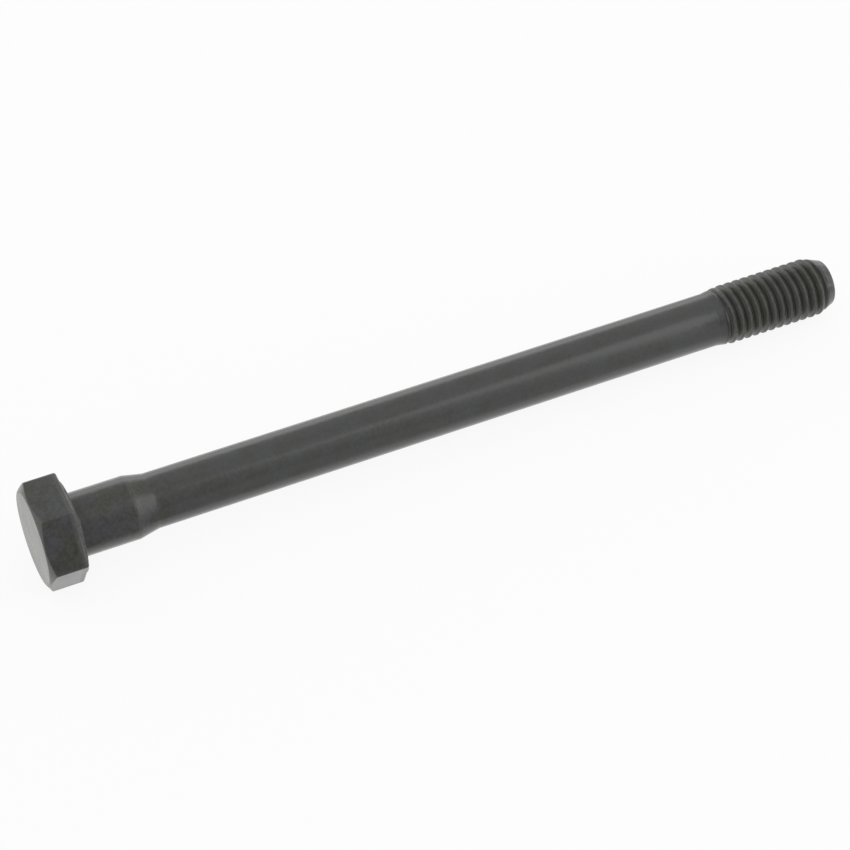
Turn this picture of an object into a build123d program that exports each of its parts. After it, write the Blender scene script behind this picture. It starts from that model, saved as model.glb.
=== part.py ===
# Cylinder head bolt M10 x 1.5: hexagon head, guide shoulder, long reduced shank, short rolled thread.
# It is modelled upright, with its axis on Z, the seat under the head at height 0 and the tip at the top.
# At the end it is laid down as it comes to rest on a flat surface: on the edge of one hexagon flat
# beside the seat and on the underside of its last full thread crest.
# Origin: centre of the seat under the head. +X runs to the tip, +Y across, +Z up. Millimetres.
from build123d import *
from math import atan, ceil, cos, degrees, radians, sin, tan
import os

os.makedirs("parts", exist_ok=True)

# Head
across_flats = 15.8
head_height = 6.4
hexagon_corner_blend = 0.6
crown_circle_diameter = 15.2
crown_bevel_angle = 29.5
washer_face_diameter = 14.9
washer_face_height = 0.35
underside_edge_radius = 0.4

# Shoulder and shank
seat_fillet_radius = 0.5
shoulder_diameter = 10.3
shoulder_length = 9.5
taper_length = 3.3
taper_blend_radius = 2.5
shank_diameter = 8.95

# Thread and point
length_under_head = 133
nominal_diameter = 10
pitch = 1.5
flank_angle = 60
crest_diameter = 9.85
threaded_length = 22
runout_length = 3
thread_turn = 68
point_diameter = 7.6
point_bevel_angle = 21
plain_point_length = 1.4
groove_fade_length = 2.6

# Radii, and heights measured from the seat
flat_distance = across_flats / 2
crown_circle_radius = crown_circle_diameter / 2
washer_face_radius = washer_face_diameter / 2
shoulder_radius = shoulder_diameter / 2
shank_radius = shank_diameter / 2
nominal_radius = nominal_diameter / 2
crest_radius = crest_diameter / 2
point_radius = point_diameter / 2
taper_end = shoulder_length + taper_length
thread_begin = length_under_head - threaded_length
full_crest_begin = thread_begin + runout_length
full_crest_end = length_under_head - (crest_radius - point_radius) / tan(radians(point_bevel_angle))
plain_begin = length_under_head - plain_point_length
plain_radius = point_radius + plain_point_length * tan(radians(point_bevel_angle))
fade_begin = plain_begin - groove_fade_length

# Thread section: two flanks that stand half a pitch apart at the pitch radius, with a narrow flat at the root
half_flank = radians(flank_angle / 2)
sharp_height = pitch / (2 * tan(half_flank))
pitch_radius = nominal_radius - 3 / 8 * sharp_height
sharp_root_radius = pitch_radius - sharp_height / 2
root_radius = sharp_root_radius + sharp_height / 6


def groove_half_width(radius):
    return (radius - sharp_root_radius) * tan(half_flank)


# One turn of the groove, cut along a right-hand helix
with BuildPart() as groove_turn:
    with BuildLine() as turn_path:
        Helix(pitch, pitch, nominal_radius)
    with BuildSketch(Plane.XZ) as groove_section:
        with BuildLine():
            Polyline(
                (root_radius, groove_half_width(root_radius)),
                (nominal_radius, groove_half_width(nominal_radius)),
                (nominal_radius, -groove_half_width(nominal_radius)),
                (root_radius, -groove_half_width(root_radius)),
                close=True,
            )
        make_face()
    sweep(path=turn_path.wire(), is_frenet=True)

# Body that no groove enters: below the thread, under the cone on which the groove climbs out at the shank,
# under the cone on which it fades into the point, and the plain point itself
body_foot = thread_begin - 2 * pitch
body_top = length_under_head + 2 * pitch
body_outside = 2 * nominal_radius
runout_end = full_crest_begin + pitch / 2
turn_count = ceil((plain_begin + groove_half_width(plain_radius) - thread_begin) / pitch)
with BuildPart() as uncut_body:
    with BuildSketch(Plane.XZ) as uncut_section:
        with BuildLine():
            Polyline(
                (0, body_foot),
                (body_outside, body_foot),
                (nominal_radius, thread_begin),
                (sharp_root_radius, runout_end),
                (0, runout_end),
                close=True,
            )
        make_face()
        with BuildLine():
            Polyline(
                (0, fade_begin),
                (sharp_root_radius, fade_begin),
                (plain_radius, plain_begin),
                (body_outside, plain_begin),
                (body_outside, body_top),
                (0, body_top),
                close=True,
            )
        make_face()
    revolve(axis=Axis.Z)


def groove_turn_at(height):
    with BuildPart() as placed_turn:
        with Locations(Location((0, 0, height), (0, 0, thread_turn))):
            add(groove_turn.part)
        add(uncut_body.part, mode=Mode.SUBTRACT)
    return placed_turn.part


# Head: a hexagon with rounded edges on its underside, turned to a bevelled crown
turning_margin = 0.5
turned_radius = flat_distance / cos(radians(30)) + turning_margin
crown_bevel_drop = (turned_radius - crown_circle_radius) * tan(radians(crown_bevel_angle))

with BuildPart() as upright_bolt:
    with BuildSketch(Plane.XY.offset(-head_height)) as hexagon:
        RegularPolygon(flat_distance, 6, major_radius=False)
        fillet(hexagon.vertices(), radius=hexagon_corner_blend)
    extrude(amount=head_height - washer_face_height)
    fillet(upright_bolt.faces().sort_by(Axis.Z)[-1].edges(), radius=underside_edge_radius)
    with BuildSketch(Plane.XZ) as turned_section:
        with BuildLine():
            Polyline(
                (0, -head_height),
                (crown_circle_radius, -head_height),
                (turned_radius, -head_height + crown_bevel_drop),
                (turned_radius, -washer_face_height),
                (0, -washer_face_height),
                close=True,
            )
        make_face()
    revolve(axis=Axis.Z, mode=Mode.INTERSECT)

    # All that is turned about the axis: washer face, seat fillet, shoulder, taper, shank and thread blank
    with BuildSketch(Plane.XZ) as shaft_section:
        with BuildLine():
            Polyline(
                (shoulder_radius + seat_fillet_radius, 0),
                (washer_face_radius, 0),
                (washer_face_radius, -washer_face_height),
                (0, -washer_face_height),
                (0, length_under_head),
                (point_radius, length_under_head),
                (crest_radius, full_crest_end),
                (crest_radius, full_crest_begin),
                (shank_radius, thread_begin),
                (shank_radius, taper_end),
                (shoulder_radius, shoulder_length),
                (shoulder_radius, seat_fillet_radius),
            )
            RadiusArc(
                (shoulder_radius, seat_fillet_radius),
                (shoulder_radius + seat_fillet_radius, 0),
                -seat_fillet_radius,
            )
        make_face()
        section_corners = shaft_section.vertices()
        shoulder_corner = section_corners.sort_by_distance((shoulder_radius, shoulder_length))[0]
        shank_corner = section_corners.sort_by_distance((shank_radius, taper_end))[0]
        fillet([shoulder_corner, shank_corner], radius=taper_blend_radius)
    revolve(axis=Axis.Z)
    for turn in range(turn_count):
        add(groove_turn_at(thread_begin + turn * pitch), mode=Mode.SUBTRACT)

# Lie of the bolt: a hexagon flat is further from the axis than the crests are, so the tip drops
flat_end = -washer_face_height - underside_edge_radius
rest_tilt = degrees(atan((flat_distance - crest_radius) / (full_crest_end - flat_end)))
axis_direction = (cos(radians(rest_tilt)), 0, -sin(radians(rest_tilt)))
seat_plane = Plane(origin=(0, 0, 0), x_dir=(0, 1, 0), z_dir=axis_direction)

with BuildPart() as head_bolt:
    with Locations(seat_plane):
        add(upright_bolt.part)

head_bolt.part.label = "head_bolt"
export_step(head_bolt.part, "parts/head_bolt.step")
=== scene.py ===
from math import atan, ceil, cos, degrees, pi, radians, sin, sqrt, tan

import bmesh
import bpy
from mathutils import Matrix, Vector


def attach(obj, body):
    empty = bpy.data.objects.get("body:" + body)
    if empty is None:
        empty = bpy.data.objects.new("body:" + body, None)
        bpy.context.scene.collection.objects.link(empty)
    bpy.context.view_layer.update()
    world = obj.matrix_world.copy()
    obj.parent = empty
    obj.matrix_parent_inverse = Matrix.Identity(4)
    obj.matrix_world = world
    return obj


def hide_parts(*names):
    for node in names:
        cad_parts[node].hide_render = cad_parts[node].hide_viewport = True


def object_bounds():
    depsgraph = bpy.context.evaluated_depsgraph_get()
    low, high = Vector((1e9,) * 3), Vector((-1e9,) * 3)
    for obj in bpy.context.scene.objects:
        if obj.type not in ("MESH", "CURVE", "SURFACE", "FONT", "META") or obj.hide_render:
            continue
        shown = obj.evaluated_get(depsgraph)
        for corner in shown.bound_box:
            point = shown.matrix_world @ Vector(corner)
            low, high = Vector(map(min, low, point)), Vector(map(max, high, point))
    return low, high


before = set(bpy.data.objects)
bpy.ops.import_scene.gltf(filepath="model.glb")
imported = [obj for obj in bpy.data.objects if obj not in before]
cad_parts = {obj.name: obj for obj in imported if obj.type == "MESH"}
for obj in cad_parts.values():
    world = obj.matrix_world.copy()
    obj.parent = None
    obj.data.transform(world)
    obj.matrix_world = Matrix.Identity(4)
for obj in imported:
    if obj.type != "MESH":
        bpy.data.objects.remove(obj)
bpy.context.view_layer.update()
print("frame loaded")

# Millimetres in the bolt's own frame: x along the axis from the seat, angles from +Y towards +Z.
headSize = {
    "acrossFlats": 15.8,
    "height": 6.4,
    "cornerRadius": 0.6,
    "crownDiameter": 15.2,
    "crownBevel": 29.5,  # degrees
    "crownEdge": 0.4,
    "bevelEdge": 0.18,
    "undersideEdge": 0.4,
    "washerDiameter": 14.9,
    "washerHeight": 0.35,
    "washerEdge": 0.12,
    "wornBand": (0.7, 0.3),  # distances from the underside edge where the band begins, and is full
    "crownRings": (1.2, 2.6, 4.0, 5.4, 6.5, 7.1),  # radii
}
shaftSize = {
    "seatFillet": 0.5,
    "shoulderDiameter": 10.3,
    "shoulderLength": 9.5,
    "taperLength": 3.3,
    "taperBlend": 2.5,
    "shankDiameter": 8.95,
    "shoulderRings": (0.7, 2.0, 4.0, 6.0, 8.0, 9.1),  # distances from the seat
    "shankRingsFrom": 0.6,  # past the taper, outside its blend
    "shankRingSpacing": 4.0,
}
threadSize = {
    "length": 133.0,
    "nominalDiameter": 10.0,
    "crestDiameter": 9.85,
    "pitch": 1.5,
    "threadedLength": 22.0,
    "runout": 3.0,
    "turn": 68.0,  # degrees
    "pointDiameter": 7.6,
    "pointBevel": 21.0,  # degrees
    "pointEdge": 0.25,
    "plainPoint": 1.4,
    "grooveFade": 2.6,
    "edgeRounding": 0.05,
    # how far into the run-out its painted shade begins and ends, and the painted light of the
    # flanks comes in
    "shadeFrom": 0.9,
    "shadeTo": 2.4,
    "flankLight": (1.6, 2.6),
    "rowsPerPitch": 24,
    "endRings": (3.3, 2.2, 1.1),  # radii
    # from the middle of the groove to that of the crest: share of the way, share of the depth
    "section": (
        (0.0, 0.0), (0.10, 0.004), (0.16, 0.025), (0.22, 0.085), (0.76, 0.912), (0.80, 0.962),
        (0.84, 0.99), (0.885, 1.0), (0.92, 0.99), (0.955, 0.945), (1.0, 0.925),
    ),
}
# Wear of edges, from 0 to 1. Under the head and on the washer's rim it also paints light over the
# shade between hexagon and washer
edgeWearAndLight = {
    "crownInside": 0.05,
    "crown": 0.3,
    "bevel": 0.2,
    "bevelCorner": 0.2,  # added at the hexagon's corners
    "hexagonCorner": 0.25,
    "cornerSpan": 3.2,  # degrees from a corner over which its wear ends
    "hexagonBand": 0.4,
    # underside and washer: worn, and painted light over the shade between hexagon and washer
    "underside": 1.0,
    "washer": 0.8,
    "seat": 0.15,
    "shoulderEnd": 0.3,
    "coneEnd": 0.2,
    "pointEdge": 0.6,
    "crest": 0.45,
    "lastCrest": 0.4,  # added on the crest beside the point
}
columnCount = 120  # around the axis, a multiple of six
cornerSteps = 3  # columns on each half of a hexagon corner
edgeSteps = 4
blendSteps = 5
filletSteps = 6
supportAngle = 0.9  # from a rounded corner to the column that keeps its flat flat, in degrees
supportGap = 0.1  # from a rounded edge to the ring that keeps its face flat
filletGap = 0.08  # from the seat fillet to the ring outside it
mergeDistance = 0.002

halfFlats = headSize["acrossFlats"] / 2
crownRadius = headSize["crownDiameter"] / 2
washerRadius = headSize["washerDiameter"] / 2
shoulderRadius = shaftSize["shoulderDiameter"] / 2
shankRadius = shaftSize["shankDiameter"] / 2
crestRadius = threadSize["crestDiameter"] / 2
pointRadius = threadSize["pointDiameter"] / 2
pointSlope = tan(radians(threadSize["pointBevel"]))
threadBegin = threadSize["length"] - threadSize["threadedLength"]
coneBegin = threadSize["length"] - (crestRadius - pointRadius) / pointSlope
coneEnd = threadSize["length"] - threadSize["pointEdge"]
plainBegin = threadSize["length"] - threadSize["plainPoint"]
plainRadius = pointRadius + threadSize["plainPoint"] * pointSlope

# The bolt lies on the edge of a hexagon flat and on its thread crests, so its axis drops
# towards the tip.
flatEdge = -headSize["washerHeight"] - headSize["undersideEdge"]
restTilt = atan((halfFlats - crestRadius) / (coneBegin - flatEdge))
layDown = Matrix.Rotation(restTilt, 4, "Y") @ Matrix.Scale(0.001, 4)


# Head, shoulder, shank and tip: one ring of points after another
def hexagonRadius(angle, inset):
    flat = halfFlats - inset
    centre = (halfFlats - headSize["cornerRadius"]) / cos(radians(30))
    fromFlat = abs(angle % 60 - 30)
    lastFlatAngle = degrees(atan(centre * sin(radians(30)) / flat))
    if fromFlat <= lastFlatAngle:
        return flat / cos(radians(fromFlat))
    fromCorner = radians(30 - fromFlat)
    radius = headSize["cornerRadius"] - inset
    return centre * cos(fromCorner) + sqrt(radius**2 - (centre * sin(fromCorner)) ** 2)


def headAngles():
    tangent = (halfFlats - headSize["cornerRadius"]) * tan(radians(30))
    cornerHalf = 30 - degrees(atan(tangent / halfFlats))
    support = cornerHalf + supportAngle
    flatSteps = columnCount // 6 - 2 * cornerSteps - 2
    sector = [cornerHalf * k / cornerSteps for k in range(cornerSteps + 1)]
    sector += [support + (60 - 2 * support) * k / flatSteps for k in range(flatSteps + 1)]
    sector += [60 - cornerHalf * k / cornerSteps for k in range(cornerSteps, 0, -1)]
    return [60 * number + angle for number in range(6) for angle in sector]


def roundedCorner(before, corner, after, radius, steps):
    before, corner, after = Vector(before), Vector(corner), Vector(after)
    towardsBefore = (before - corner).normalized()
    towardsAfter = (after - corner).normalized()
    halfAngle = towardsBefore.angle(towardsAfter) / 2
    centre = corner + (towardsBefore + towardsAfter).normalized() * radius / sin(halfAngle)
    first = corner + towardsBefore * radius / tan(halfAngle) - centre
    last = corner + towardsAfter * radius / tan(halfAngle) - centre
    return [centre + first.slerp(last, k / steps).normalized() * radius for k in range(steps + 1)]


# Each point of a meridian is (x, radius, share of the even column spread, wear and painted light).
def headMeridian(angle):
    outer = hexagonRadius(angle, 0)
    crownX = -headSize["height"]
    bevelX = crownX + (outer - crownRadius) * tan(radians(headSize["crownBevel"]))
    fromCorner = 30 - abs(angle % 60 - 30)
    atCorner = max(0.0, 1 - fromCorner / edgeWearAndLight["cornerSpan"])

    points = [(crownX, radius, 0, 0.0) for radius in headSize["crownRings"]]
    middle, crownEdge, bevelEnd = (crownX, 0), (crownX, crownRadius), (bevelX, outer)
    crownTurn = roundedCorner(middle, crownEdge, bevelEnd, headSize["crownEdge"], edgeSteps)
    points += [(crownX, crownTurn[0].y - supportGap, 0, edgeWearAndLight["crownInside"])]
    points += [(p.x, p.y, 0, edgeWearAndLight["crown"]) for p in crownTurn]
    flatEnd = (flatEdge, outer)
    bevelTurn = roundedCorner(crownEdge, bevelEnd, flatEnd, headSize["bevelEdge"], edgeSteps)
    bevelWear = edgeWearAndLight["bevel"] + edgeWearAndLight["bevelCorner"] * atCorner
    points += [(p.x, p.y, 0, bevelWear) for p in bevelTurn]

    flatFrom = bevelTurn[-1].x + supportGap
    bandFrom, bandTo = [flatEdge - distance for distance in headSize["wornBand"]]
    flatRows = 4
    for k in range(flatRows + 1):
        x = flatFrom + (bandFrom - flatFrom) * k / flatRows
        points += [(x, outer, 0, edgeWearAndLight["hexagonCorner"] * atCorner)]
    points += [(bandTo, outer, 0, edgeWearAndLight["hexagonBand"])]
    edge = headSize["undersideEdge"]
    for turn in range(0, 91, 15):  # degrees, and from the middle on worn bright, which also paints light over the shade there
        inset = edge * (1 - cos(radians(turn)))
        wearAndLight = edgeWearAndLight["hexagonBand"] if turn <= 45 else edgeWearAndLight["underside"]
        points += [(flatEdge + edge * sin(radians(turn)), hexagonRadius(angle, inset), 0, wearAndLight)]

    washerTop = (-headSize["washerHeight"], washerRadius)
    points += [(*washerTop, 0, edgeWearAndLight["underside"])]
    washerTurn = roundedCorner(
        washerTop, (0, washerRadius), (0, 0), headSize["washerEdge"], edgeSteps
    )
    points += [(p.x, p.y, 0, edgeWearAndLight["washer"]) for p in washerTurn]
    faceFrom = washerTurn[-1].y - supportGap
    faceTo = shoulderRadius + shaftSize["seatFillet"] + filletGap
    faceRows = 5
    for k in range(faceRows + 1):
        radius = faceFrom + (faceTo - faceFrom) * k / faceRows
        points += [(0, radius, k / faceRows, edgeWearAndLight["seat"])]
    fillet = roundedCorner(
        (0, washerRadius), (0, shoulderRadius), (shaftSize["shoulderLength"], shoulderRadius),
        shaftSize["seatFillet"], filletSteps,
    )
    points += [(p.x, p.y, 1, 0.0) for p in fillet]
    return points + shaftMeridian()


def shaftMeridian():
    points = [(x, shoulderRadius, 1, 0.0) for x in shaftSize["shoulderRings"]]
    blend = shaftSize["taperBlend"]
    taperEnd = shaftSize["shoulderLength"] + shaftSize["taperLength"]
    taperFrom, taperTo = (shaftSize["shoulderLength"], shoulderRadius), (taperEnd, shankRadius)
    shoulderEnd = roundedCorner((0, shoulderRadius), taperFrom, taperTo, blend, blendSteps)
    points += [(p.x, p.y, 1, edgeWearAndLight["shoulderEnd"]) for p in shoulderEnd]
    middle = (Vector(taperFrom) + Vector(taperTo)) / 2
    points += [(middle.x, middle.y, 1, 0.0)]
    shankStart = roundedCorner(taperFrom, taperTo, (threadBegin, shankRadius), blend, blendSteps)
    points += [(p.x, p.y, 1, 0.0) for p in shankStart]
    shankFrom = taperEnd + shaftSize["shankRingsFrom"]
    shankRows = ceil((threadBegin - shankFrom) / shaftSize["shankRingSpacing"])
    for k in range(shankRows + 1):
        x = shankFrom + (threadBegin - shankFrom) * k / shankRows
        points += [(x, shankRadius, 1, 0.0)]
    return points


def tipMeridian():
    end = threadSize["length"]
    coneEndPoint = (coneEnd, pointRadius + threadSize["pointEdge"] * pointSlope)
    points = [(*coneEndPoint, 1, edgeWearAndLight["coneEnd"])]
    turn = roundedCorner(
        coneEndPoint, (end, pointRadius), (end, 0), threadSize["pointEdge"], blendSteps
    )
    points += [(p.x, p.y, 1, edgeWearAndLight["pointEdge"]) for p in turn]
    return points + [(end, radius, 1, 0.0) for radius in threadSize["endRings"]]


def buildShell():
    shell = bmesh.new()
    wearLayer = shell.verts.layers.float.new("wearAndLight")
    onHead = headAngles()
    even = [360 * k / columnCount for k in range(columnCount)]

    def addColumns(meridians):
        columns = []
        for k, points in enumerate(meridians):
            column = []
            for x, radius, share, wearAndLight in points:
                angle = radians(onHead[k] + (even[k] - onHead[k]) * share)
                vertex = shell.verts.new((x, radius * cos(angle), radius * sin(angle)))
                vertex[wearLayer] = wearAndLight
                column.append(vertex)
            columns.append(column)
        for k, column in enumerate(columns):
            following = columns[(k + 1) % columnCount]
            for row in range(len(column) - 1):
                corners = column[row], column[row + 1], following[row + 1], following[row]
                shell.faces.new(corners)
        return columns

    def closeWithPole(columns, row, x):
        pole = shell.verts.new((x, 0, 0))
        for k in range(columnCount):
            shell.faces.new((columns[k][row], columns[(k + 1) % columnCount][row], pole))

    body = addColumns([headMeridian(angle) for angle in onHead])
    closeWithPole(body, 0, -headSize["height"])
    tip = addColumns([tipMeridian()] * columnCount)
    closeWithPole(tip, -1, threadSize["length"])
    mesh = bpy.data.meshes.new("headBoltShell")
    shell.to_mesh(mesh)
    shell.free()
    return bpy.data.objects.new("headBoltShell", mesh)


# Short ways to add a node, to fill or link a socket, and to calculate
def treeTools(tree):
    def add(kind, **settings):
        node = tree.nodes.new(kind)
        for name, value in settings.items():
            setattr(node, name, value)
        return node

    def fill(socket, value):
        if isinstance(value, bpy.types.NodeSocket):
            tree.links.new(value, socket)
        else:
            socket.default_value = value

    def calc(operation, *values):
        node = add("ShaderNodeMath", operation=operation)
        for number, value in enumerate(values):
            fill(node.inputs[number], value)
        return node.outputs[0]

    return add, fill, calc


def spreadTool(add, fill):
    def spread(value, low, high, lowOut=0.0, highOut=1.0):
        node = add("ShaderNodeMapRange", interpolation_type="SMOOTHSTEP")
        fill(node.inputs["Value"], value)
        fill(node.inputs["From Min"], low)
        fill(node.inputs["From Max"], high)
        fill(node.inputs["To Min"], lowOut)
        fill(node.inputs["To Max"], highOut)
        return node.outputs["Result"]

    return spread


def straightCurve(node, points):
    curve = node.mapping.curves[0]
    while len(curve.points) < len(points):
        curve.points.new(0.5, 0.5)
    for point, (x, y) in zip(curve.points, points):
        point.location = (x, y)
        point.handle_type = "VECTOR"
    node.mapping.update()


# Thread: a grid wound round the axis, whose rows follow the helix
def threadTree():
    tree = bpy.data.node_groups.new("rolledThread", "GeometryNodeTree")
    add, fill, calc = treeTools(tree)
    sockets = {}
    tree.interface.new_socket(
        name="Geometry", in_out="INPUT", socket_type="NodeSocketGeometry"
    )
    inputNames = {
        "Float": (
            "Begin", "End", "Pitch", "Turn", "Shank Radius", "Crest Radius", "Root Radius",
            "Nominal Radius", "Sharp Root Radius", "Run-out", "Point Radius", "Point Slope",
            "Tip", "Fade Begin", "Fade Slope", "Edge Rounding", "Shade From", "Shade To",
            "Merge Distance",
        ),
        "Int": ("Columns", "Rows", "Rows per Pitch"),
        "Material": ("Finish",),
    }
    for kind, names in inputNames.items():
        for name in names:
            socket = tree.interface.new_socket(
                name=name, in_out="INPUT", socket_type="NodeSocket" + kind
            )
            sockets[name] = socket.identifier
    tree.interface.new_socket(
        name="Geometry", in_out="OUTPUT", socket_type="NodeSocketGeometry"
    )
    given = add("NodeGroupInput").outputs

    def clamp(value, high=1.0):
        return calc("MAXIMUM", calc("MINIMUM", value, high), 0.0)

    def store(geometry, name, value):
        node = add("GeometryNodeStoreNamedAttribute", data_type="FLOAT", domain="POINT")
        fill(node.inputs["Geometry"], geometry)
        node.inputs["Name"].default_value = name
        fill(node.inputs["Value"], value)
        return node.outputs["Geometry"]

    grid = add("GeometryNodeMeshGrid")
    fill(grid.inputs["Vertices X"], calc("ADD", given["Columns"], 1.0))
    fill(grid.inputs["Vertices Y"], calc("ADD", given["Rows"], 1.0))
    place = add("ShaderNodeSeparateXYZ")
    fill(place.inputs[0], add("GeometryNodeInputPosition").outputs[0])
    around = calc("ADD", place.outputs["X"], 0.5)
    along = calc("ADD", place.outputs["Y"], 0.5)

    # x on the helix, held between the two ends of the thread
    rise = calc("MULTIPLY", given["Pitch"], around)
    pitchCount = calc("DIVIDE", given["Rows"], given["Rows per Pitch"])
    length = calc("MULTIPLY", pitchCount, given["Pitch"])
    before = calc("MULTIPLY", given["Pitch"], calc("ADD", 1.0, given["Turn"]))
    helixX = calc("SUBTRACT", given["Begin"], before)
    helixX = calc("ADD", helixX, calc("MULTIPLY", length, along))
    x = calc("MINIMUM", calc("ADD", helixX, rise), given["End"])
    x = calc("MAXIMUM", x, given["Begin"])

    # thread section: 0 in the middle of the groove, 1 in the middle of the crest
    fromBegin = calc("SUBTRACT", x, given["Begin"])
    turned = calc("MULTIPLY", given["Pitch"], given["Turn"])
    groovePlace = calc("ADD", calc("SUBTRACT", fromBegin, rise), turned)
    halfTurns = calc("PINGPONG", calc("DIVIDE", groovePlace, given["Pitch"]), 0.5)
    curve = add("ShaderNodeFloatCurve")
    straightCurve(curve, threadSize["section"])
    fill(curve.inputs["Value"], calc("MULTIPLY", halfTurns, 2.0))
    section = curve.outputs[0]
    depth = calc("SUBTRACT", given["Crest Radius"], given["Root Radius"])
    sectionRadius = calc("MULTIPLY_ADD", section, depth, given["Root Radius"])

    # the groove climbs out at the shank, and fades into the point
    climbLength = calc("ADD", given["Run-out"], calc("MULTIPLY", given["Pitch"], 0.5))
    climb = calc("SUBTRACT", given["Nominal Radius"], given["Sharp Root Radius"])
    climb = calc("MULTIPLY", fromBegin, calc("DIVIDE", climb, climbLength))
    shankEnvelope = calc("SUBTRACT", given["Nominal Radius"], climb)
    intoFade = calc("SUBTRACT", x, given["Fade Begin"])
    fade = calc("MAXIMUM", intoFade, 0.0)
    tipEnvelope = calc("MULTIPLY_ADD", fade, given["Fade Slope"], given["Sharp Root Radius"])
    groove = calc("MAXIMUM", calc("MAXIMUM", sectionRadius, shankEnvelope), tipEnvelope)

    # outside: the shank widens to the crests, and the point narrows to the tip
    widening = calc("SUBTRACT", given["Crest Radius"], given["Shank Radius"])
    widening = calc("DIVIDE", widening, given["Run-out"])
    blank = calc("MULTIPLY_ADD", fromBegin, widening, given["Shank Radius"])
    blank = calc("MINIMUM", blank, given["Crest Radius"])
    fromTip = calc("SUBTRACT", given["Tip"], x)
    point = calc("MULTIPLY_ADD", fromTip, given["Point Slope"], given["Point Radius"])
    outside = calc("SMOOTH_MIN", blank, point, given["Edge Rounding"])
    radius = calc("SMOOTH_MIN", outside, groove, given["Edge Rounding"])

    angle = calc("MULTIPLY", around, 2 * pi)
    target = add("ShaderNodeCombineXYZ")
    fill(target.inputs["X"], x)
    fill(target.inputs["Y"], calc("MULTIPLY", radius, calc("COSINE", angle)))
    fill(target.inputs["Z"], calc("MULTIPLY", radius, calc("SINE", angle)))

    # wear on the upper fifth of the crests, most beside the point
    height = calc("DIVIDE", calc("SUBTRACT", radius, given["Root Radius"]), depth)
    onCrest = clamp(calc("DIVIDE", calc("SUBTRACT", height, 0.8), 0.2))
    crestWear = calc(
        "MULTIPLY_ADD", clamp(intoFade), edgeWearAndLight["lastCrest"], edgeWearAndLight["crest"]
    )
    wornAndLit = store(grid.outputs["Mesh"], "wearAndLight", calc("MULTIPLY", onCrest, crestWear))

    # depth of the groove, full from a quarter of the depth on, and the painted shade in the
    # run-out, which comes in over a third of a millimetre and goes over a whole one
    depthBelow = calc("DIVIDE", calc("SUBTRACT", outside, radius), depth)
    isCut = clamp(calc("MULTIPLY", depthBelow, 4.0))
    inGroove = calc("MULTIPLY", isCut, calc("SUBTRACT", 1.0, section))
    shadeStart = calc("MULTIPLY", calc("SUBTRACT", fromBegin, given["Shade From"]), 3.0)
    shadeEnd = calc("SUBTRACT", given["Shade To"], fromBegin)
    shade = calc("MULTIPLY", clamp(shadeStart, 0.9), clamp(shadeEnd))
    cut = store(wornAndLit, "groove", calc("MAXIMUM", inGroove, shade))

    move = add("GeometryNodeSetPosition")
    fill(move.inputs["Geometry"], cut)
    fill(move.inputs["Position"], target.outputs[0])
    join = add("GeometryNodeJoinGeometry")
    fill(join.inputs["Geometry"], move.outputs["Geometry"])
    fill(join.inputs["Geometry"], given["Geometry"])
    merge = add("GeometryNodeMergeByDistance")
    fill(merge.inputs["Geometry"], join.outputs["Geometry"])
    fill(merge.inputs["Distance"], given["Merge Distance"])
    realize = add("GeometryNodeRealizeInstances")
    fill(realize.inputs["Geometry"], merge.outputs["Geometry"])
    paint = add("GeometryNodeSetMaterial")
    fill(paint.inputs["Geometry"], realize.outputs["Geometry"])
    fill(paint.inputs["Material"], given["Finish"])
    fill(add("NodeGroupOutput").inputs["Geometry"], paint.outputs["Geometry"])
    return tree, sockets


def windThread(shell, finish):
    tree, sockets = threadTree()
    pitch = threadSize["pitch"]
    turn = threadSize["turn"] / 360
    sharpHeight = pitch / (2 * tan(radians(30)))
    nominalRadius = threadSize["nominalDiameter"] / 2
    sharpRootRadius = nominalRadius - sharpHeight * 7 / 8
    covered = coneEnd - threadBegin + pitch * (1 + turn)
    values = {
        "Begin": threadBegin,
        "End": coneEnd,
        "Pitch": pitch,
        "Turn": turn,
        "Shank Radius": shankRadius,
        "Crest Radius": crestRadius,
        "Root Radius": sharpRootRadius + sharpHeight / 6,
        "Nominal Radius": nominalRadius,
        "Sharp Root Radius": sharpRootRadius,
        "Run-out": threadSize["runout"],
        "Point Radius": pointRadius,
        "Point Slope": pointSlope,
        "Tip": threadSize["length"],
        "Fade Begin": plainBegin - threadSize["grooveFade"],
        "Fade Slope": (plainRadius - sharpRootRadius) / threadSize["grooveFade"],
        "Edge Rounding": threadSize["edgeRounding"],
        "Shade From": threadSize["shadeFrom"],
        "Shade To": threadSize["shadeTo"],
        "Merge Distance": mergeDistance,
        "Columns": columnCount,
        "Rows": ceil(covered / pitch * threadSize["rowsPerPitch"]),
        "Rows per Pitch": threadSize["rowsPerPitch"],
        "Finish": finish,
    }
    modifier = shell.modifiers.new("rolledThread", "NODES")
    modifier.node_group = tree
    for name, value in values.items():
        modifier[sockets[name]] = value


def plainMesh(source, name, sharpFrom=38):
    depsgraph = bpy.context.evaluated_depsgraph_get()
    evaluated = source.evaluated_get(depsgraph)
    mesh = bpy.data.meshes.new_from_object(evaluated, depsgraph=depsgraph)
    mesh.name = name
    mesh.transform(layDown)
    bpy.data.objects.remove(source)
    form = bmesh.new()
    form.from_mesh(mesh)
    bmesh.ops.recalc_face_normals(form, faces=form.faces)
    for face in form.faces:
        face.smooth = True
    for line in form.edges:
        line.smooth = line.is_manifold and line.calc_face_angle() < radians(sharpFrom)
    openEdges = sum(not line.is_manifold for line in form.edges)
    form.to_mesh(mesh)
    form.free()
    piece = bpy.data.objects.new(name, mesh)
    bpy.context.scene.collection.objects.link(piece)
    print(name, "has", len(mesh.polygons), "faces and", openEdges, "open edges")
    return piece
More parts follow.
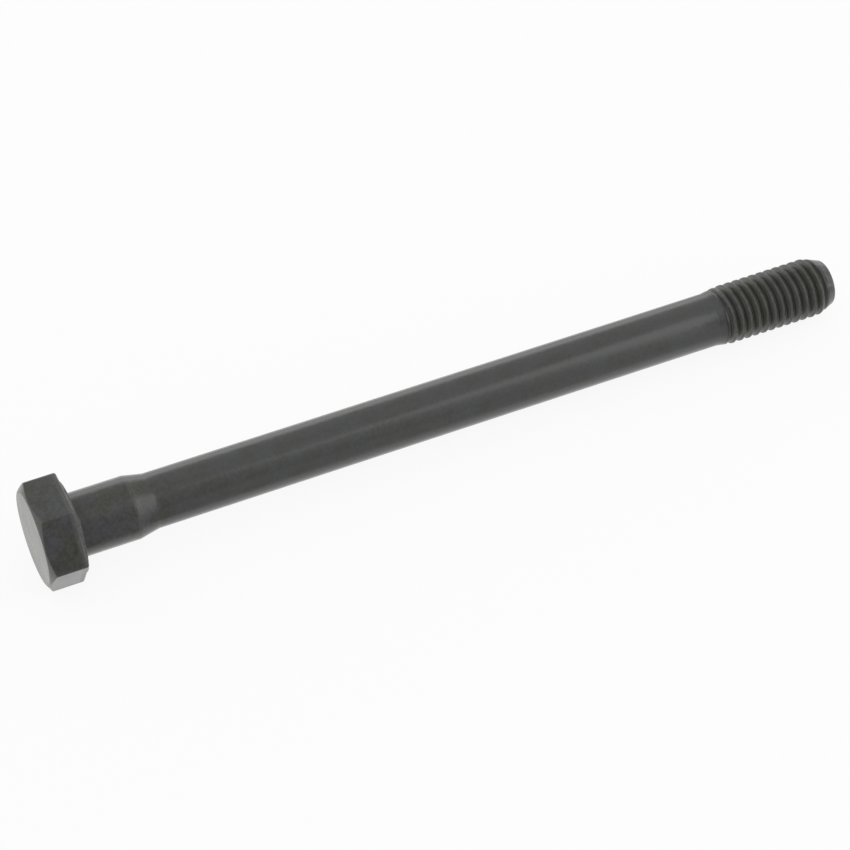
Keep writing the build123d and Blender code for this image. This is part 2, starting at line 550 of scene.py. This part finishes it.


# Finish: oily black phosphate, worn a little lighter on edges and crests, with painted light on
# the thread flanks and over the shade under the head, and painted shade in the thread's run-out.
# Noise scales are per metre, and lengths in metres.
finishLook = {
    "deep": (0.033, 0.033, 0.025, 1),
    "film": (0.042, 0.043, 0.047, 1),
    "wornAndLit": (0.14, 0.14, 0.135, 1),
    # painted light on the thread flanks
    "paintedFlankLight": (0.098, 0.100, 0.080, 1),
    # groove: darker thread roots, and painted shade in the run-out
    "groove": (0.020, 0.020, 0.018, 1),
    "cutEnd": (0.104, 0.104, 0.107, 1),
    "crown": (0.125, 0.127, 0.075, 1),
    "drawn": (0.055, 0.056, 0.056, 1),
    # share of a colour where its pattern is low, and where it is high
    "speckleShare": (0.0, 0.18),
    "drawnShare": (0.5, 1.0),
    "drawnMost": 0.75,
    "wornShare": (0.2, 0.95),
    "flankLightShare": (0.45, 1.0),
    "cutEndShare": (0.3, 0.95),
    "crownShare": (0.15, 0.5),
    "drawnFadeIn": 0.01,
    "drawnFadeOut": 0.002,
    "edgeFade": 0.0002,
    "metallic": 0.1,
    "ior": 1.52,
    "roughness": 0.16,  # and what the crown, the wear, the groove and two patterns add to it
    "crownRoughness": 0.06,
    "wearRoughness": 0.2,
    "grooveRoughness": 0.1,
    "mottleRoughness": 0.14,
    "speckleRoughness": 0.12,
    "mottle": 260,
    "speckle": 1500,
    "grain": 2600,
    "streaks": 900,
    "streakStretch": 0.06,
    "laps": 3400,
    "lapStretch": 0.12,
    "bumpStrength": 0.4,
    "bumpHeight": 0.00004,
}


def blackSteel():
    material = bpy.data.materials.new("blackSteel")
    material.use_nodes = True
    tree = material.node_tree
    tree.nodes.clear()
    add, fill, calc = treeTools(tree)
    spread = spreadTool(add, fill)

    def mixColour(share, first, second):
        node = add("ShaderNodeMix", data_type="RGBA")
        fill(node.inputs["Factor"], share)
        fill(node.inputs[6], first)
        fill(node.inputs[7], second)
        return node.outputs[2]

    def mapping(vector, **settings):
        node = add("ShaderNodeMapping")
        fill(node.inputs["Vector"], vector)
        for name, value in settings.items():
            node.inputs[name].default_value = value
        return node.outputs["Vector"]

    def noise(vector, scale, detail, roughness=0.55):
        node = add("ShaderNodeTexNoise")
        fill(node.inputs["Vector"], vector)
        node.inputs["Scale"].default_value = scale
        node.inputs["Detail"].default_value = detail
        node.inputs["Roughness"].default_value = roughness
        return node.outputs["Fac"]

    def patches(pattern, shares):
        return spread(pattern, 0.3, 0.7, *shares)

    # the bolt's own frame, and two that stretch a pattern along the axis and around it
    place = add("ShaderNodeTexCoord").outputs["Object"]
    straight = mapping(place, Rotation=(0, -restTilt, 0))
    drawn = mapping(straight, Scale=(finishLook["streakStretch"], 1, 1))
    rolled = mapping(straight, Scale=(1, finishLook["lapStretch"], finishLook["lapStretch"]))
    parts = add("ShaderNodeSeparateXYZ")
    fill(parts.inputs[0], straight)
    x = parts.outputs["X"]
    wearAndLight = add("ShaderNodeAttribute", attribute_name="wearAndLight").outputs["Fac"]
    groove = add("ShaderNodeAttribute", attribute_name="groove").outputs["Fac"]

    mottle = noise(straight, finishLook["mottle"], 4)
    speckle = noise(straight, finishLook["speckle"], 3, 0.6)
    grain = noise(straight, finishLook["grain"], 3, 0.6)
    streaks = noise(drawn, finishLook["streaks"], 3)
    laps = noise(rolled, finishLook["laps"], 3, 0.6)

    colour = mixColour(spread(mottle, 0.35, 0.68), finishLook["deep"], finishLook["film"])
    speckleShare = spread(speckle, 0.3, 0.75, *finishLook["speckleShare"])
    colour = mixColour(speckleShare, colour, finishLook["wornAndLit"])

    shankFrom, shankTo = shaftSize["shoulderLength"] / 1000, threadBegin / 1000
    onShank = calc(
        "MULTIPLY",
        spread(x, shankFrom, shankFrom + finishLook["drawnFadeIn"], 0.0, finishLook["drawnMost"]),
        spread(x, shankTo, shankTo + finishLook["drawnFadeOut"], 1.0, 0.0),
    )
    shankShare = calc("MULTIPLY", onShank, patches(streaks, finishLook["drawnShare"]))
    colour = mixColour(shankShare, colour, finishLook["drawn"])

    # edges and crests worn lighter; under the head this also paints light over the shade between
    # hexagon and washer
    scuffs = calc("MULTIPLY", calc("ADD", grain, laps), 0.5)
    wearAndLightShare = calc("MULTIPLY", wearAndLight, spread(scuffs, 0.36, 0.64, *finishLook["wornShare"]))
    colour = mixColour(wearAndLightShare, colour, finishLook["wornAndLit"])

    # painted light: the thread flanks are made lighter, standing in for the light they catch, from
    # a little past the run-out on
    flankFrom, flankTo = [(threadBegin + length) / 1000 for length in threadSize["flankLight"]]
    onFlank = spread(groove, 0.05, 0.2)
    flankLightShare = calc("MULTIPLY", onFlank, patches(laps, finishLook["flankLightShare"]))
    flankLightShare = calc("MULTIPLY", flankLightShare, spread(x, flankFrom, flankTo))
    colour = mixColour(flankLightShare, colour, finishLook["paintedFlankLight"])
    # the thread roots are darker, and the run-out gets its painted shade with the same colour
    colour = mixColour(spread(groove, 0.62, 0.98), colour, finishLook["groove"])

    pointFrom = plainBegin / 1000
    onPoint = spread(x, pointFrom, pointFrom + finishLook["edgeFade"])
    pointShare = calc("MULTIPLY", onPoint, patches(speckle, finishLook["cutEndShare"]))
    colour = mixColour(pointShare, colour, finishLook["cutEnd"])

    crownTo = -headSize["height"] / 1000
    onCrown = spread(x, crownTo, crownTo + finishLook["edgeFade"], 1.0, 0.0)
    crownShare = calc("MULTIPLY", onCrown, patches(speckle, finishLook["crownShare"]))
    colour = mixColour(crownShare, colour, finishLook["crown"])

    rough = finishLook["roughness"]
    for pattern, name in (
        (mottle, "mottleRoughness"),
        (onCrown, "crownRoughness"),
        (wearAndLight, "wearRoughness"),
        (calc("SUBTRACT", speckle, 0.5), "speckleRoughness"),
        (groove, "grooveRoughness"),
    ):
        rough = calc("ADD", rough, calc("MULTIPLY", pattern, finishLook[name]))

    bump = add("ShaderNodeBump")
    bump.inputs["Strength"].default_value = finishLook["bumpStrength"]
    bump.inputs["Distance"].default_value = finishLook["bumpHeight"]
    fill(bump.inputs["Height"], calc("ADD", calc("MULTIPLY", grain, 0.5), speckle))

    surface = add("ShaderNodeBsdfPrincipled")
    fill(surface.inputs["Base Color"], colour)
    surface.inputs["Metallic"].default_value = finishLook["metallic"]
    surface.inputs["IOR"].default_value = finishLook["ior"]
    fill(surface.inputs["Roughness"], rough)
    fill(surface.inputs["Normal"], bump.outputs["Normal"])
    fill(add("ShaderNodeOutputMaterial").inputs["Surface"], surface.outputs["BSDF"])
    return material


steel = blackSteel()
shell = buildShell()
bpy.context.scene.collection.objects.link(shell)
windThread(shell, steel)
headBolt = plainMesh(shell, "headBolt")
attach(headBolt, "root")
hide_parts("head_bolt")
print("bolt made")


# Pale surface, soft light and camera, in metres. A strength of 1 is white.
studioLook = {
    "floorHalfWidth": 6.0,
    "floorColour": (0.86, 0.86, 0.86, 1),
    "floorWhite": 0.9,  # share of plain white that the camera and reflections see
    "floorNear": 1.2,  # in reflections: beside the bolt
    "floorThread": 0.95,  # beside its thread
    "floorFront": 0.35,  # in front of its head
    "floorTip": 0.65,  # in front of its tip
    "frontTo": (-0.013, -0.0075),  # y from which the front brightens to the strength near the bolt
    "headToTip": (-0.01, 0.06),  # x
    "shankToThread": (0.105, 0.118),  # x
    "worldLight": 1.0,
    "worldFront": 0.35,
    "worldAbove": 1.0,
    "worldFrontTo": (-1.0, -0.3),  # y of the direction
    "worldHeadToTip": (0.1, 0.45),  # x of the direction
    "lampTarget": (0.1, 0, 0),
}
lampLook = {
    "softLamp": {"place": (0.62, -0.46, 0.32), "width": 0.55, "height": 1.1, "power": 2.0},
    "backLamp": {"place": (0.1, 0.95, 0.30), "width": 2.4, "height": 0.42, "power": 3.1},
}


def raysSeen(add, calc):
    rays = add("ShaderNodeLightPath").outputs
    shiny = calc("MAXIMUM", rays["Is Glossy Ray"], rays["Is Transmission Ray"])
    return rays["Is Camera Ray"], shiny


# White to the camera. In reflections it is bright near the bolt and dims towards the front.
def paleSurface():
    material = bpy.data.materials.new("paleSurface")
    material.use_nodes = True
    tree = material.node_tree
    tree.nodes.clear()
    add, fill, calc = treeTools(tree)
    spread = spreadTool(add, fill)
    parts = add("ShaderNodeSeparateXYZ")
    fill(parts.inputs[0], add("ShaderNodeTexCoord").outputs["Object"])
    x, y = parts.outputs["X"], parts.outputs["Y"]
    front = spread(
        x, *studioLook["headToTip"], studioLook["floorFront"], studioLook["floorTip"]
    )
    near = spread(
        x, *studioLook["shankToThread"], studioLook["floorNear"], studioLook["floorThread"]
    )
    reflected = spread(y, *studioLook["frontTo"], front, near)
    camera, shiny = raysSeen(add, calc)
    white = add("ShaderNodeEmission")
    fill(white.inputs["Strength"], calc("MAXIMUM", camera, calc("MULTIPLY", shiny, reflected)))
    matt = add("ShaderNodeBsdfDiffuse")
    matt.inputs["Color"].default_value = studioLook["floorColour"]
    mix = add("ShaderNodeMixShader")
    seen = calc("MAXIMUM", camera, shiny)
    fill(mix.inputs[0], calc("MULTIPLY", seen, studioLook["floorWhite"]))
    fill(mix.inputs[1], matt.outputs[0])
    fill(mix.inputs[2], white.outputs[0])
    fill(add("ShaderNodeOutputMaterial").inputs["Surface"], mix.outputs[0])
    material.cycles.emission_sampling = "NONE"  # a blurred reflection meets the full white
    return material


def addFloor():
    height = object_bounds()[0].z
    half = studioLook["floorHalfWidth"]
    corners = [(-half, -half), (half, -half), (half, half), (-half, half)]
    mesh = bpy.data.meshes.new("floor")
    mesh.from_pydata([(x, y, height) for x, y in corners], [], [(0, 1, 2, 3)])
    mesh.materials.append(paleSurface())
    floor = bpy.data.objects.new("floor", mesh)
    bpy.context.scene.collection.objects.link(floor)


# White to the camera, plain light on surfaces, and in reflections a dim front
def addWorld():
    world = bpy.data.worlds.new("whiteRoom")
    bpy.context.scene.world = world
    world.use_nodes = True
    tree = world.node_tree
    tree.nodes.clear()
    add, fill, calc = treeTools(tree)
    spread = spreadTool(add, fill)
    parts = add("ShaderNodeSeparateXYZ")
    fill(parts.inputs[0], add("ShaderNodeTexCoord").outputs["Generated"])
    x, y = parts.outputs["X"], parts.outputs["Y"]
    above = studioLook["worldAbove"]
    front = spread(x, *studioLook["worldHeadToTip"], studioLook["worldFront"], above)
    reflected = spread(y, *studioLook["worldFrontTo"], front, above)
    camera, shiny = raysSeen(add, calc)
    plain = calc("MULTIPLY", calc("SUBTRACT", 1.0, shiny), studioLook["worldLight"])
    strength = calc("ADD", plain, calc("MULTIPLY", shiny, reflected))
    background = add("ShaderNodeBackground")
    fill(background.inputs["Strength"], calc("MAXIMUM", camera, strength))
    fill(add("ShaderNodeOutputWorld").inputs["Surface"], background.outputs[0])
    world.cycles.sampling_method = "NONE"


def addLamp(name, place, width, height, power):
    lamp = bpy.data.lights.new(name, "AREA")
    lamp.shape = "RECTANGLE"
    lamp.size, lamp.size_y = width, height
    lamp.energy = power
    lampObject = bpy.data.objects.new(name, lamp)
    lampObject.location = place
    direction = Vector(studioLook["lampTarget"]) - Vector(place)
    lampObject.rotation_euler = direction.to_track_quat("-Z", "Y").to_euler()
    bpy.context.scene.collection.objects.link(lampObject)


# The camera stands left of the tip's side and above, and looks along the bolt towards its tip.
cameraView = {
    "aim": (0.05785, -0.00399, 0.0),
    "distance": 0.44453,
    "azimuth": 67.521,  # degrees from +X towards +Y, in which the camera looks
    "elevation": 44.961,
    "roll": 2.695,
    "lens": 118.66,
    "sensor": 36,
    "clip": (0.01, 20),
}


def addCamera():
    azimuth, elevation = radians(cameraView["azimuth"]), radians(cameraView["elevation"])
    level = cos(elevation)
    forward = Vector((level * cos(azimuth), level * sin(azimuth), -sin(elevation)))
    levelRight = Vector((sin(azimuth), -cos(azimuth), 0))
    right = Matrix.Rotation(radians(cameraView["roll"]), 3, forward) @ levelRight
    camera = bpy.data.cameras.new("camera")
    camera.lens = cameraView["lens"]
    camera.sensor_width = cameraView["sensor"]
    camera.clip_start, camera.clip_end = cameraView["clip"]
    cameraObject = bpy.data.objects.new("camera", camera)
    turned = Matrix((right, right.cross(forward), -forward)).transposed().to_4x4()
    place = Vector(cameraView["aim"]) - forward * cameraView["distance"]
    cameraObject.matrix_world = Matrix.Translation(place) @ turned
    bpy.context.scene.collection.objects.link(cameraObject)
    bpy.context.scene.camera = cameraObject


addFloor()
addWorld()
for lampName, look in lampLook.items():
    addLamp(lampName, **look)
addCamera()
bpy.context.scene.view_settings.view_transform = "Standard"
print("studio made")
